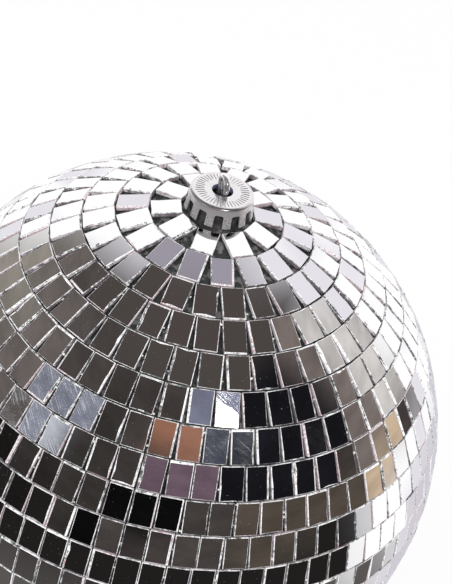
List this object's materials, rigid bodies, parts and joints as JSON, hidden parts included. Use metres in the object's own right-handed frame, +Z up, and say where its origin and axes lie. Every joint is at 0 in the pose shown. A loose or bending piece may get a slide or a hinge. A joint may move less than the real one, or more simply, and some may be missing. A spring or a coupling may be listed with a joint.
{
  "type": "mirror ball",
  "caption": "Hanging mirror ball: rows of small glass mirrors glued to a hollow ball, with a crown-shaped metal cap and a wire loop that it turns on.",
  "frame": {"origin": "the point inside the wire loop that a hook bears on; the ball hangs below it", "axes": "+Z up along the ball's axis, through the cap and the loop"},
  "size_m": [0.1843, 0.1842, 0.196],
  "materials": {
    "mirror_glass": "silvered glass, cut edges",
    "core_plastic": "grey-green moulded plastic",
    "neck_plastic": "dark moulded plastic",
    "cap_metal": "pressed bright metal, fluted top",
    "loop_wire": "bright plated wire"
  },
  "bodies": {
    "loop": {"hanger_loop": "loop_wire"},
    "ball": {"core_upper_half": "core_plastic", "core_lower_half": "core_plastic", "neck_plug": "neck_plastic", "crown_cap": "cap_metal", "tile_row_01": "mirror_glass", "tile_row_02": "mirror_glass", "tile_row_03": "mirror_glass", "tile_row_04": "mirror_glass", "tile_row_05": "mirror_glass", "tile_row_06": "mirror_glass", "tile_row_07": "mirror_glass", "tile_row_08": "mirror_glass", "tile_row_09": "mirror_glass", "tile_row_10": "mirror_glass", "tile_row_11": "mirror_glass", "tile_row_12": "mirror_glass", "tile_row_13": "mirror_glass", "tile_row_14": "mirror_glass", "tile_row_15": "mirror_glass", "tile_row_16": "mirror_glass", "tile_row_17": "mirror_glass", "tile_row_18": "mirror_glass", "tile_row_19": "mirror_glass", "tile_row_20": "mirror_glass", "tile_row_21": "mirror_glass", "tile_row_22": "mirror_glass", "tile_row_23": "mirror_glass", "tile_row_24": "mirror_glass", "tile_row_25": "mirror_glass", "tile_row_26": "mirror_glass", "bottom_tile": "mirror_glass"}
  },
  "joints": [
    {"name": "ball_swivel", "type": "hinge", "parent": "loop", "child": "ball", "pos_m": [0, 0, 0], "axis": [0, 0, 1], "continuous": true}
  ]
}
